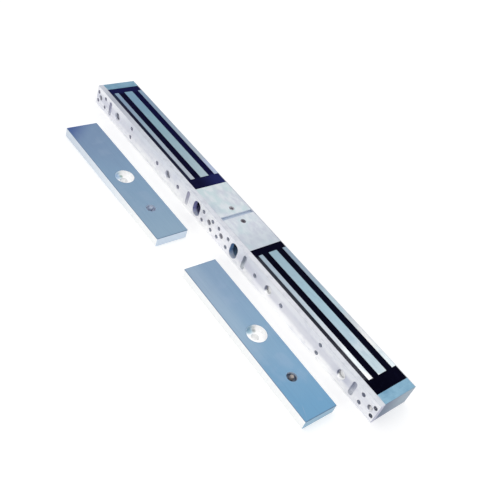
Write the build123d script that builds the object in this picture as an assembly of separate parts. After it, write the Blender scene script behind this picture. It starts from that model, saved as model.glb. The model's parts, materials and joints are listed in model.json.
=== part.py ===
from build123d import *
import os

# Double magnetic door lock, in millimetres.
#
# The lock lies on its back with both magnet faces up. X runs along the lock, from the far leaf
# of the door to the near leaf, Y from the mounting plate to the front, and Z is up. The origin
# is the middle of the lock's underside. The two armature plates lie loose behind the mounting
# plate with their contact faces up, ready to be screwed to the two door leaves.

# ---------------------------------------------------------------- magnets
core_length = 165.3
core_width = 37.35
core_height = 23.0
side_leg = 5.2
core_slot = 8.05         # from a side leg to the centre leg
yoke = 6.0
plain_bar = 8.9          # cast resin past the core, at the end without leads
lead_bar = 15.3          # cast resin past the core, at the end with leads
resin_strip = 4.45       # cast resin between the core and the back wall
resin_recess = 0.3       # the pole faces stand this much above the resin
bobbin_wall = 0.8
bobbin_play = 0.2        # bobbin to core, all round
flange_lip = 0.3         # the flanges stand this much outside the wire
coil_side_resin = 1.5    # cast resin between the bobbin and a side leg
coil_top_resin = 3.0     # from the bobbin's top to the pole faces
core_screw_inset = 35.0  # from each end of a core
core_screw_length = 6.5

# ---------------------------------------------------------------- housing
wall = 1.0
floor_thickness = 2.0
housing_edge = 0.3
end_block_length = 11.0
end_block_edge = 0.3
bay_length = 49.5        # from the middle of the lock to a magnet
bridge_length = 30.0
cover_thickness = 2.0
cover_groove = 4.4       # between the two covers
cover_play = 0.1
cover_edge = 0.25
cover_ledge = 1.5        # the resin step that carries a cover's outer end
cover_screw_x = 10.5
cover_screw_length = 7.0

# ---------------------------------------------------------------- mounting plate
mounting_plate_thickness = 4.7
mounting_plate_edge = 0.6
small_hole = 4.6
small_pair_pitch = 11.4
single_hole = 5.0
fixing_hole = 8.0
fixing_hole_sink = 12.0  # countersink on the side that faces the housing
fixing_hole_mouth = 11.0  # and on the side that faces the door frame
tapped_hole_sink = 7.2
cable_hole_width = 12.0
cable_hole_height = 18.0
slot_width = 5.4
slot_height = 18.0
# Places along the plate, from the middle of the lock.
inner_pair_x = 5.5
middle_screw_x = 11.0
# From the inner end of a magnet, towards the middle of the lock.
cable_hole_inset = 15.6
second_pair_inset = 27.5
# From the inner end of a magnet, outwards.
inner_slot_from_magnet = 2.1
first_single_from_magnet = 21.4
inner_fixing_from_magnet = 42.5
second_single_from_magnet = 63.8
# From the ends of the plate.
third_pair_inset = 79.5
outer_fixing_inset = 47.5
outer_slot_inset = 31.0
fourth_pair_inset = 19.2
end_pair_inset = 3.5
end_screw_from_magnet = 3.0

# ---------------------------------------------------------------- fasteners
m4_shank = 4.0
m4_head = 7.5
m4_socket = 2.5
m3_shank = 3.0
m3_head = 6.0
board_shank = 2.5
board_head = 4.5
board_head_height = 1.6
screw_play = 0.05        # shank to threaded hole
pass_play = 0.2          # shank to clearance hole
screw_tip_gap = 1.2      # a fixing screw ends this far inside the mounting plate's back

# ---------------------------------------------------------------- circuit boards
board_thickness = 1.6
board_margin = 2.0       # board to bridge and to resin
board_front_gap = 1.0    # board to front wall
cable_lane = 8.55        # board to back wall, where the cable comes in
standoff_height = 4.0
standoff_diameter = 5.0
standoff_inset = 3.2
terminal_pitch = 5.08
terminal_depth = 8.0
terminal_height = 10.0
terminal_inset = 1.0
terminal_screw = 3.2
terminal_wire_hole = 3.0
varistor_diameter = 7.0
varistor_thickness = 3.0
varistor_leg = 0.7
varistor_leg_length = 1.2
varistor_leg_pitch = 4.5
jumper_pitch = 2.54
jumper_base = 2.5
jumper_pin = 0.64
jumper_pin_length = 6.0
jumper_cap_height = 5.0
jumper_to_varistor = 0.92
lead_diameter = 1.5
lead_pitch = 5.0
lead_height = 15.0       # above the underside of the lock
lead_reach = 5.0         # from the resin to where the lead turns down
lead_bend = 3.0
lead_depth = 2.0         # in the resin

# ---------------------------------------------------------------- armature plates
armature_length = 190.0
armature_width = 38.0
armature_thickness = 11.0
armature_edge = 0.6
head_recess = 20.5
head_recess_depth = 5.5
bolt_bore = 8.4
guide_hole = 5.0
guide_hole_depth = 6.0
guide_hole_x = 28.0
kick_pin_x = 53.0
kick_pin = 4.0
kick_pin_travel = 1.0
kick_pin_play = 0.05
kick_recess = 10.4
kick_recess_depth = 3.0
kick_guide = 2.5         # length of the bore that guides the pin
kick_collar = 8.4
kick_collar_height = 1.0
kick_pocket = 9.0
kick_plug_height = 1.5
kick_plug_slot = 1.0
kick_spring_wire = 0.5
kick_spring_diameter = 6.5
kick_spring_turns = 2.0
# Where the two plates lie: ends along X, gaps behind the lock, and turns about Z in degrees.
far_plate_end_x = -10.3
near_plate_end_x = 34.7
far_plate_gap = 27.05
near_plate_gap = 24.05
far_plate_turn = 0.5
near_plate_turn = -0.4

# ---------------------------------------------------------------- sizes that follow
magnet_length = plain_bar + core_length + lead_bar
lock_half = bay_length + magnet_length + end_block_length
lock_length = 2 * lock_half
lock_width = mounting_plate_thickness + wall + resin_strip + core_width + wall
lock_height = floor_thickness + core_height
back_y = -lock_width / 2
front_y = lock_width / 2
housing_back_y = back_y + mounting_plate_thickness
cavity_back_y = housing_back_y + wall
cavity_front_y = front_y - wall
cavity_mid_y = (cavity_back_y + cavity_front_y) / 2
core_back_y = cavity_front_y - core_width
core_mid_y = cavity_front_y - core_width / 2
hole_line_z = lock_height / 2
magnet_outer_x = bay_length + magnet_length
end_screw_x = magnet_outer_x + end_screw_from_magnet
cover_under_z = lock_height - cover_thickness
board_inner_x = bridge_length / 2 + board_margin
board_outer_x = bay_length - cover_ledge - board_margin
board_back_y = cavity_back_y + cable_lane
board_front_y = cavity_front_y - board_front_gap
board_under_z = floor_thickness + standoff_height
board_top_z = board_under_z + board_thickness
coil_under_z = floor_thickness + yoke
centre_leg = core_width - 2 * (side_leg + core_slot)
coil_half_hole = centre_leg / 2 + bobbin_play
coil_reach = core_slot - bobbin_play - coil_side_resin
winding_build = coil_reach - bobbin_wall - flange_lip
bobbin_height = core_height - yoke - coil_top_resin
cable_hole_x = bay_length - cable_hole_inset
outer_fixing_x = lock_half - outer_fixing_inset
inner_fixing_x = bay_length + inner_fixing_from_magnet
terminal_back_y = board_back_y + terminal_inset
terminal_mid_y = terminal_back_y + terminal_depth / 2
terminal_top_z = board_top_z + terminal_height
jumper_x = board_outer_x - standoff_inset - 3 * jumper_pitch
jumper_reach = 1.5 * jumper_pitch
SMALL_PAIR_PLACES = (inner_pair_x, bay_length - second_pair_inset, lock_half - third_pair_inset,
                     lock_half - fourth_pair_inset, lock_half - end_pair_inset)
SINGLE_PLACES = (bay_length + first_single_from_magnet, bay_length + second_single_from_magnet)
SLOT_PLACES = (bay_length + inner_slot_from_magnet, lock_half - outer_slot_inset)
small_cut = 0.01
SIDES = {"far": -1, "near": 1}


# ---------------------------------------------------------------- plain shapes
def block(x0, x1, y0, y1, z0, z1):
    middle = Pos((x0 + x1) / 2, (y0 + y1) / 2, (z0 + z1) / 2)
    return middle * Box(abs(x1 - x0), abs(y1 - y0), abs(z1 - z0))


def rod_up(x, y, z0, z1, diameter):
    return Pos(x, y, (z0 + z1) / 2) * Cylinder(diameter / 2, abs(z1 - z0))


def rod_across(x, z, y0, y1, diameter):
    return Pos(x, (y0 + y1) / 2, z) * Rot(X=90) * Cylinder(diameter / 2, abs(y1 - y0))


def slot_across(x, z, y0, y1, width, height):
    straight = height - width
    middle = block(x - width / 2, x + width / 2, y0, y1, z - straight / 2, z + straight / 2)
    return middle + [rod_across(x, z + end * straight / 2, y0, y1, width) for end in (-1, 1)]


def long_edges(solid):
    return solid.edges().filter_by(Axis.X)


def sink(head, shank):
    """A 90 degree countersink, its mouth at z = 0 and its point downwards."""
    height = (head - shank) / 2
    return Pos(0, 0, -height / 2) * Cone(shank / 2, head / 2, height)


def countersunk_screw(head, shank, length, socket):
    """A flat-head screw with a hexagon socket, its head's face at z = 0."""
    screw = sink(head, shank) + rod_up(0, 0, -length, 0, shank)
    return screw - extrude(RegularPolygon(socket / 2, 6), -(head - shank) / 2)


def cross_recess_screw(head, shank, length):
    """A flat-head screw with a cross recess, its head's face at z = 0."""
    depth = (head - shank) / 2
    arm = head * 0.6
    blade = head * 0.14
    screw = sink(head, shank) + rod_up(0, 0, -length, 0, shank)
    return screw - Box(arm, blade, 2 * depth) - Box(blade, arm, 2 * depth)


def countersunk_hole(head, hole, depth):
    """The space a flat-head screw takes up, its mouth at z = 0."""
    return sink(head, hole) + rod_up(0, 0, -depth, 0, hole)


def from_front(x):
    """The place of a fixing screw: its head in the front wall, pointing at the mounting plate."""
    return Pos(x, front_y, hole_line_z) * Rot(X=-90)


def mirrored(x):
    return (-x, x)


FIXING_SCREW_PLACES = mirrored(end_screw_x) + mirrored(middle_screw_x)
fixing_screw_length = lock_width - screw_tip_gap


# ---------------------------------------------------------------- housing and its plate
def mounting_plate():
    plate = block(-lock_half, lock_half, back_y, housing_back_y, 0, lock_height)
    plate = chamfer(long_edges(plate).group_by(Axis.Y)[0], mounting_plate_edge)
    cuts = []
    for x in SMALL_PAIR_PLACES:
        for z in (hole_line_z - small_pair_pitch / 2, hole_line_z + small_pair_pitch / 2):
            cuts += [rod_across(side, z, back_y, housing_back_y, small_hole) for side in mirrored(x)]
    for x in SINGLE_PLACES:
        cuts += [rod_across(side, hole_line_z, back_y, housing_back_y, single_hole) for side in mirrored(x)]
    for x in (inner_fixing_x, outer_fixing_x):
        for side in mirrored(x):
            cuts.append(rod_across(side, hole_line_z, back_y, housing_back_y, fixing_hole))
            inner_mouth = Pos(side, housing_back_y, hole_line_z) * Rot(X=-90)
            cuts.append(inner_mouth * sink(fixing_hole_sink, fixing_hole))
            outer_mouth = Pos(side, back_y, hole_line_z) * Rot(X=90)
            cuts.append(outer_mouth * sink(fixing_hole_mouth, fixing_hole))
    for x in SLOT_PLACES:
        for side in mirrored(x):
            cuts.append(slot_across(side, hole_line_z, back_y, housing_back_y, slot_width, slot_height))
    for side in mirrored(cable_hole_x):
        cuts.append(cable_hole(side))
    for x in FIXING_SCREW_PLACES:
        tapped = m4_shank + 2 * screw_play
        cuts.append(rod_across(x, hole_line_z, back_y, housing_back_y, tapped))
        outer_mouth = Pos(x, back_y, hole_line_z) * Rot(X=90)
        cuts.append(outer_mouth * sink(tapped_hole_sink, tapped))
    return plate - cuts


def cable_hole(x):
    return slot_across(x, hole_line_z, back_y, cavity_back_y, cable_hole_width, cable_hole_height)


def core_screw_places(side):
    plain_end = plain_end_x(side)
    ends = (plain_end + plain_bar, plain_end + plain_bar + core_length)
    return (ends[0] + core_screw_inset, ends[1] - core_screw_inset)


def housing():
    channel = block(-lock_half, lock_half, housing_back_y, front_y, 0, lock_height)
    channel = chamfer(long_edges(channel).group_by(Axis.Y)[-1], housing_edge)
    cuts = [block(-lock_half, lock_half, cavity_back_y, cavity_front_y, floor_thickness, lock_height)]
    for side in mirrored(cable_hole_x):
        cuts.append(cable_hole(side))
    for x in FIXING_SCREW_PLACES:
        cuts.append(from_front(x) * countersunk_hole(m4_head, m4_shank + 2 * pass_play, lock_width))
    for side in SIDES.values():
        for x in core_screw_places(side):
            seat = countersunk_hole(m4_head, m4_shank + 2 * pass_play, floor_thickness)
            cuts.append(Pos(x, core_mid_y, 0) * Rot(X=180) * seat)
    return channel - cuts


def end_block(side):
    inner = side * magnet_outer_x
    outer = side * lock_half
    solid = block(inner, outer, cavity_back_y, cavity_front_y, floor_thickness, lock_height)
    top_edges = solid.edges().filter_by(Axis.Y).group_by(Axis.Z)[-1]
    outer_edge = top_edges.sort_by(lambda edge: side * edge.center().X)[-1]
    solid = chamfer(outer_edge, end_block_edge)
    hole = countersunk_hole(m4_head, m4_shank + 2 * pass_play, lock_width)
    return solid - from_front(side * end_screw_x) * hole


def bridge():
    half = bridge_length / 2
    solid = block(-half, half, cavity_back_y, cavity_front_y, floor_thickness, cover_under_z)
    hole = countersunk_hole(m4_head, m4_shank + 2 * pass_play, lock_width)
    cuts = [from_front(x) * hole for x in mirrored(middle_screw_x)]
    low = lock_height - cover_screw_length
    for x in mirrored(cover_screw_x):
        cuts.append(rod_up(x, cavity_mid_y, low, cover_under_z, m3_shank + 2 * screw_play))
    return solid - cuts


def cover(side):
    inner = cover_groove / 2
    outer = bay_length - cover_play
    plate = block(side * inner, side * outer, cavity_back_y + cover_play, cavity_front_y - cover_play,
                  cover_under_z, lock_height)
    plate = chamfer(plate.faces().sort_by(Axis.Z)[-1].edges(), cover_edge)
    hole = countersunk_hole(m3_head, m3_shank + 2 * pass_play, cover_thickness)
    return plate - Pos(side * cover_screw_x, cavity_mid_y, lock_height) * hole


def fixing_screws():
    screw = countersunk_screw(m4_head, m4_shank, fixing_screw_length, m4_socket)
    return [from_front(x) * screw for x in FIXING_SCREW_PLACES]


def core_screws():
    screw = Rot(X=180) * countersunk_screw(m4_head, m4_shank, core_screw_length, m4_socket)
    return [Pos(x, core_mid_y, 0) * screw for side in SIDES.values() for x in core_screw_places(side)]


def cover_screws():
    screw = cross_recess_screw(m3_head, m3_shank, cover_screw_length)
    return [Pos(x, cavity_mid_y, lock_height) * screw for x in mirrored(cover_screw_x)]


# ---------------------------------------------------------------- magnets
def plain_end_x(side):
    """Both magnets point the same way, so each starts at the end that lies towards -X."""
    return -magnet_outer_x if side < 0 else bay_length


def core_start_x(side):
    return plain_end_x(side) + plain_bar


def core(side):
    start = core_start_x(side)
    end = start + core_length
    solid = block(start, end, core_back_y, cavity_front_y, floor_thickness, lock_height)
    for y in (core_back_y + side_leg, cavity_front_y - side_leg - core_slot):
        solid -= block(start, end, y, y + core_slot, coil_under_z, lock_height)
    for x in core_screw_places(side):
        tapped = m4_shank + 2 * screw_play
        solid -= rod_up(x, core_mid_y, floor_thickness, core_screw_length + screw_play, tapped)
    return solid


def coil_ring(side, inner, outer, z0, z1):
    """A rectangular ring round the centre leg, between two distances from the bobbin's hole."""
    start = core_start_x(side) - bobbin_play
    end = start + core_length + 2 * bobbin_play
    half_out = coil_half_hole + outer
    half_in = coil_half_hole + inner
    ring = block(start - outer, end + outer, core_mid_y - half_out, core_mid_y + half_out, z0, z1)
    return ring - block(start - inner, end + inner, core_mid_y - half_in, core_mid_y + half_in, z0, z1)


def bobbin(side):
    top = coil_under_z + bobbin_height
    tube = coil_ring(side, 0, bobbin_wall, coil_under_z, top)
    low_flange = coil_ring(side, 0, coil_reach, coil_under_z, coil_under_z + bobbin_wall)
    high_flange = coil_ring(side, 0, coil_reach, top - bobbin_wall, top)
    return tube + low_flange + high_flange


def winding(side):
    low = coil_under_z + bobbin_wall
    high = coil_under_z + bobbin_height - bobbin_wall
    return coil_ring(side, bobbin_wall, bobbin_wall + winding_build, low, high)


def resin(side):
    start = plain_end_x(side)
    end = start + magnet_length
    top = lock_height - resin_recess
    solid = block(start, end, cavity_back_y, cavity_front_y, floor_thickness, top)
    bay_face = side * bay_length
    solid += block(bay_face, bay_face - side * cover_ledge, cavity_back_y, cavity_front_y,
                   floor_thickness, cover_under_z)
    inside = core_start_x(side)
    solid -= block(inside, inside + core_length, core_back_y, cavity_front_y, floor_thickness, coil_under_z)
    for y, leg in ((core_back_y, side_leg), (core_back_y + side_leg + core_slot, centre_leg),
                   (cavity_front_y - side_leg, side_leg)):
        solid -= block(inside, inside + core_length, y, y + leg, floor_thickness, lock_height)
    coil_top = coil_under_z + bobbin_height
    solid -= coil_ring(side, 0, coil_reach, coil_under_z, coil_top)
    solid -= coil_ring(side, -bobbin_play, 0, coil_under_z, coil_top)
    for place in lead_places(side):
        solid -= place * rod_in_resin(side)
    return solid


# ---------------------------------------------------------------- circuit boards
def lead_places(side):
    face = side * (bay_length - cover_ledge)
    return [Pos(face, cavity_mid_y + step * lead_pitch / 2, lead_height) for step in (-1, 1)]


def rod_in_resin(side):
    hole = lead_diameter + 2 * screw_play
    return Pos(side * lead_depth / 2, 0, 0) * Rot(Y=90) * Cylinder(hole / 2, lead_depth)


def coil_leads(side):
    turn_down = (-side * lead_reach, 0, 0)
    foot = (-side * lead_reach, 0, board_top_z - lead_height)
    start = (side * lead_depth, 0, 0)
    path = FilletPolyline(start, turn_down, foot, radius=lead_bend)
    section = Plane(origin=start, z_dir=(-side, 0, 0)) * Circle(lead_diameter / 2)
    lead = sweep(section, path)
    return [place * lead for place in lead_places(side)]


def standoff_places(side):
    xs = (board_inner_x + standoff_inset, board_outer_x - standoff_inset)
    ys = (board_back_y + standoff_inset, board_front_y - standoff_inset)
    return [(side * x, y) for x in xs for y in ys]


def circuit_board(side):
    solid = block(side * board_inner_x, side * board_outer_x, board_back_y, board_front_y,
                  board_under_z, board_top_z)
    for x, y in standoff_places(side):
        solid -= rod_up(x, y, board_under_z, board_top_z, board_shank + 2 * pass_play)
    return solid


def standoffs():
    post = rod_up(0, 0, floor_thickness, board_under_z, standoff_diameter)
    post -= rod_up(0, 0, floor_thickness, board_under_z, board_shank + 2 * screw_play)
    return [Pos(x, y) * post for side in SIDES.values() for x, y in standoff_places(side)]


def board_screws():
    top = board_top_z + board_head_height
    screw = rod_up(0, 0, board_top_z, top, board_head)
    screw += rod_up(0, 0, floor_thickness + small_cut, board_top_z, board_shank)
    slot = Pos(0, 0, top) * Box(board_head, board_head / 8, board_head_height)
    screw -= slot
    return [Pos(x, y) * screw for side in SIDES.values() for x, y in standoff_places(side)]


def terminal_xs(side):
    return [side * cable_hole_x + step * terminal_pitch / 2 for step in (-1, 1)]


def terminal_block(side):
    middle = side * cable_hole_x
    solid = block(middle - terminal_pitch, middle + terminal_pitch, terminal_back_y,
                  terminal_back_y + terminal_depth, board_top_z, terminal_top_z)
    front_edge = solid.edges().filter_by(Axis.X).sort_by(lambda edge: edge.center().Z - edge.center().Y)[-1]
    solid = chamfer(front_edge, terminal_depth / 5)
    wire_z = board_top_z + terminal_height / 3
    for x in terminal_xs(side):
        solid -= rod_up(x, terminal_mid_y, wire_z, terminal_top_z, terminal_screw + 2 * pass_play)
        solid -= rod_across(x, wire_z, terminal_back_y, terminal_mid_y, terminal_wire_hole)
    return solid


def terminal_screws():
    low = board_top_z + terminal_height / 2
    high = terminal_top_z - terminal_height / 10
    screw = rod_up(0, 0, low, high, terminal_screw)
    screw -= Pos(0, 0, high) * Box(terminal_screw, terminal_screw / 5, terminal_screw / 2)
    # The clamp under each screw reaches down to the bottom of its chamber.
    screw += rod_up(0, 0, board_top_z + terminal_height / 3, low, terminal_screw / 2)
    return [Pos(x, terminal_mid_y) * screw for side in SIDES.values() for x in terminal_xs(side)]


def varistor(side):
    radius = varistor_diameter / 2
    x = side * (jumper_x - jumper_reach - jumper_to_varistor - radius)
    y = board_front_y - standoff_inset - varistor_diameter
    middle_z = board_top_z + varistor_leg_length + radius
    disc = Pos(x, y, middle_z) * Rot(X=90) * Cylinder(radius, varistor_thickness)
    disc = fillet(disc.edges().filter_by(GeomType.CIRCLE), varistor_thickness / 4)
    for step in (-1, 1):
        disc += rod_up(x + step * varistor_leg_pitch / 2, y, board_top_z, middle_z, varistor_leg)
    return disc


def jumper_place(side):
    return Pos(side * jumper_x, board_front_y - standoff_inset - 2 * jumper_pitch, board_top_z)


def jumper_header(side):
    base = block(-jumper_reach, jumper_reach, -jumper_base / 2, jumper_base / 2, 0, jumper_base)
    for step in (-1, 0, 1):
        base += Pos(step * jumper_pitch, 0, jumper_base + jumper_pin_length / 2) * Box(
            jumper_pin, jumper_pin, jumper_pin_length)
    return jumper_place(side) * base


def jumper_cap(side):
    cap = block(-0.45 * jumper_pitch, 1.45 * jumper_pitch, -jumper_base / 2, jumper_base / 2,
                jumper_base, jumper_base + jumper_cap_height + jumper_pin_length / 4)
    for step in (0, 1):
        hole = Pos(step * jumper_pitch, 0, jumper_base + jumper_pin_length / 2 + screw_play)
        side_length = jumper_pin + 2 * screw_play
        cap -= hole * Box(side_length, side_length, jumper_pin_length + 2 * screw_play)
    return jumper_place(side) * cap


# ---------------------------------------------------------------- armature plates
def armature_place(side):
    if side < 0:
        x = far_plate_end_x - armature_length / 2
        y = back_y - far_plate_gap - armature_width / 2
        return Pos(x, y, 0) * Rot(Z=far_plate_turn)
    x = near_plate_end_x + armature_length / 2
    y = back_y - near_plate_gap - armature_width / 2
    return Pos(x, y, 0) * Rot(Z=near_plate_turn)


kick_shoulder_z = armature_thickness - kick_recess_depth - kick_guide
kick_collar_under_z = kick_shoulder_z - kick_collar_height


def armature_plate(side):
    half = armature_length / 2
    solid = block(-half, half, -armature_width / 2, armature_width / 2, 0, armature_thickness)
    solid = chamfer(solid.edges(), armature_edge)
    solid -= rod_up(0, 0, 0, armature_thickness, bolt_bore)
    recess_floor = armature_thickness - head_recess_depth
    solid -= rod_up(0, 0, recess_floor, armature_thickness, head_recess)
    for x in mirrored(guide_hole_x):
        solid -= rod_up(x, 0, 0, guide_hole_depth, guide_hole)
    solid -= rod_up(kick_pin_x, 0, 0, kick_shoulder_z, kick_pocket)
    solid -= rod_up(kick_pin_x, 0, 0, armature_thickness, kick_pin + 2 * kick_pin_play)
    recess_low = armature_thickness - kick_recess_depth
    solid -= rod_up(kick_pin_x, 0, recess_low, armature_thickness, kick_recess)
    return armature_place(side) * solid


def kick_off_pin(side):
    top = armature_thickness + kick_pin_travel
    pin = rod_up(0, 0, kick_collar_under_z, top, kick_pin)
    pin = fillet(pin.edges().group_by(Axis.Z)[-1], kick_pin / 8)
    pin += rod_up(0, 0, kick_collar_under_z, kick_shoulder_z, kick_collar)
    return armature_place(side) * Pos(kick_pin_x, 0, 0) * pin


def kick_off_spring(side):
    radius = kick_spring_diameter / 2 - kick_spring_wire / 2
    room = kick_collar_under_z - kick_plug_height
    rise = room - kick_spring_wire
    coil = Helix(rise / kick_spring_turns, rise, radius)
    start = coil @ 0
    section = Plane(origin=start, z_dir=coil % 0) * Circle(kick_spring_wire / 2)
    wire = sweep(section, coil, is_frenet=True)
    low = kick_plug_height + kick_spring_wire / 2
    return armature_place(side) * Pos(kick_pin_x, 0, low) * wire


def kick_off_plug(side):
    plug = rod_up(0, 0, 0, kick_plug_height, kick_pocket - 2 * screw_play)
    plug -= Box(kick_pocket, kick_plug_slot, kick_plug_height)
    return armature_place(side) * Pos(kick_pin_x, 0, 0) * plug


# ---------------------------------------------------------------- writing the nodes
SINGLE_NODES = {
    "mounting_plate": mounting_plate,
    "housing": housing,
    "centre_bridge": bridge,
    "fixing_screws": fixing_screws,
    "core_screws": core_screws,
    "cover_screws": cover_screws,
    "board_standoffs": standoffs,
    "board_screws": board_screws,
    "terminal_screws": terminal_screws,
}
PAIRED_NODES = {
    "end_block": end_block,
    "core": core,
    "bobbin": bobbin,
    "winding": winding,
    "resin": resin,
    "cover": cover,
    "coil_leads": coil_leads,
    "circuit_board": circuit_board,
    "terminal_block": terminal_block,
    "varistor": varistor,
    "jumper_header": jumper_header,
    "jumper_cap": jumper_cap,
    "armature_plate": armature_plate,
    "kick_off_pin": kick_off_pin,
    "kick_off_spring": kick_off_spring,
    "kick_off_plug": kick_off_plug,
}


def write_node(name, shape):
    solids = shape if isinstance(shape, list) else [shape]
    export_step(Compound(children=[solid for piece in solids for solid in piece.solids()]),
                f"parts/{name}.step")


def main():
    os.makedirs("parts", exist_ok=True)
    for name, make in SINGLE_NODES.items():
        write_node(name, make())
    for side_name, side in SIDES.items():
        for name, make in PAIRED_NODES.items():
            write_node(f"{side_name}_{name}", make(side))
    print(f"lock {lock_length:.1f} x {lock_width:.1f} x {lock_height:.1f} mm")


main()
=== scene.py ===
"""Looks of the double magnetic door lock and its two armature plates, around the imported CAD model."""

import json
import math

import bpy
from mathutils import Matrix, Vector


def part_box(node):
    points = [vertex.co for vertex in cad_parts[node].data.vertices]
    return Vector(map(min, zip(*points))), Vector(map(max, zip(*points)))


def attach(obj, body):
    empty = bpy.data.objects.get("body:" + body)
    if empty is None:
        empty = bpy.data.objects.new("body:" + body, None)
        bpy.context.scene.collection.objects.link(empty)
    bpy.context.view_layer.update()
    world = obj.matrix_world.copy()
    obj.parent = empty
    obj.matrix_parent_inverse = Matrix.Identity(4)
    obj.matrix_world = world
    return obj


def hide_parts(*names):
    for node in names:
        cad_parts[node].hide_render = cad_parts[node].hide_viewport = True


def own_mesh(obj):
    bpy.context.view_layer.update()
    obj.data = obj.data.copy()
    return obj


SIDES = ("far", "near")

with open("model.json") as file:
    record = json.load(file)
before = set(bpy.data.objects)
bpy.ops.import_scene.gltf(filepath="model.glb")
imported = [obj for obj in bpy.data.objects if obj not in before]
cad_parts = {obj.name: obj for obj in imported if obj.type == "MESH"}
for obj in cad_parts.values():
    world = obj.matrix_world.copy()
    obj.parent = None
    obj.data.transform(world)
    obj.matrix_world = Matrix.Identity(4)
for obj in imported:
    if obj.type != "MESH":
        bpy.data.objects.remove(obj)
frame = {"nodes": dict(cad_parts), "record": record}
nodes = frame["nodes"]
mounts = {mount["name"]: mount for mount in frame["record"]["mounts"]}
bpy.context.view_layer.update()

# ---------------------------------------------------------------- camera
PHOTO_SIDE = 500                                    # pixels
FOCAL_PIXELS = 702.1
SENSOR = 36.0                                       # millimetres
CAMERA_PLACE = Vector((0.37344, -0.43745, 0.48582))
LOOKS_AT = Vector((0.03057, 0.00520, 0.0))
CAMERA_ROLL = math.radians(-21.606)


def make_camera():
    forward = (LOOKS_AT - CAMERA_PLACE).normalized()
    level_right = forward.cross(Vector((0, 0, 1))).normalized()
    level_down = forward.cross(level_right)
    right = level_right * math.cos(CAMERA_ROLL) + level_down * math.sin(CAMERA_ROLL)
    down = forward.cross(right)
    lens = bpy.data.cameras.new("camera")
    lens.sensor_width = SENSOR
    lens.lens = FOCAL_PIXELS / PHOTO_SIDE * SENSOR
    lens.clip_start = 0.01
    camera = bpy.data.objects.new("camera", lens)
    axes = Matrix((right, -down, -forward)).transposed().to_4x4()
    camera.matrix_world = Matrix.Translation(CAMERA_PLACE) @ axes
    bpy.context.scene.collection.objects.link(camera)
    bpy.context.scene.camera = camera


# ---------------------------------------------------------------- places taken from the frame
plate_low, plate_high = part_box("mounting_plate")
housing_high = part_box("housing")[1]
end_x = housing_high.x
back_y = plate_low.y
seam_y = plate_high.y                               # mounting plate to housing
top_z = housing_high.z
armature_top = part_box("far_armature_plate")[1].z
cable_x = float(mounts["near_cable_entry"]["pos_m"][0])
FIXING_XS = tuple(mounts[name]["dims"]["spacing_x_mm"] / 2000
                  for name in ("inner_fixing_holes", "outer_fixing_holes"))
SCREW_XS = (0.011, end_x - 0.008)                   # the lock's own screws through the mounting plate
SLOT_XS = (0.0516, end_x - 0.031)                   # the upright slots of each half
# How far along the lock the tones of an opening reach from its middle.
ENTRY_REACH = 0.0070
FIXING_REACH = 0.0078
SCREW_REACH = 0.0040
SLOT_REACH = 0.0031
# Light gathers in the lower part of an opening, between these heights.
ENTRY_LIGHT = (0.0085, 0.0025)
SLOT_LIGHT = (0.0120, 0.0015)
INNER_TO_OUTER = (0.10, 0.20)                       # along a half, from its inner slot to its outer one
NEAR_END = (0.236, 0.243)                           # the last holes of the mounting plate
MIDDLE_LEG = (0.0070, 0.0085)                       # from a core's middle line into the resin beside it
PROFILE_EDGE = 0.0008                               # clear of the profiles' broken edges
ARMATURE_HALF = 0.095                               # half an armature plate's length
CUP_RADIUS = 0.0103                                 # the armature bolt's cup
POCKET_RADIUS = 0.00524                             # the kick-off pin's pocket
FINE = 0.00002                                      # depth of the fine marks in a surface


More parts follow.
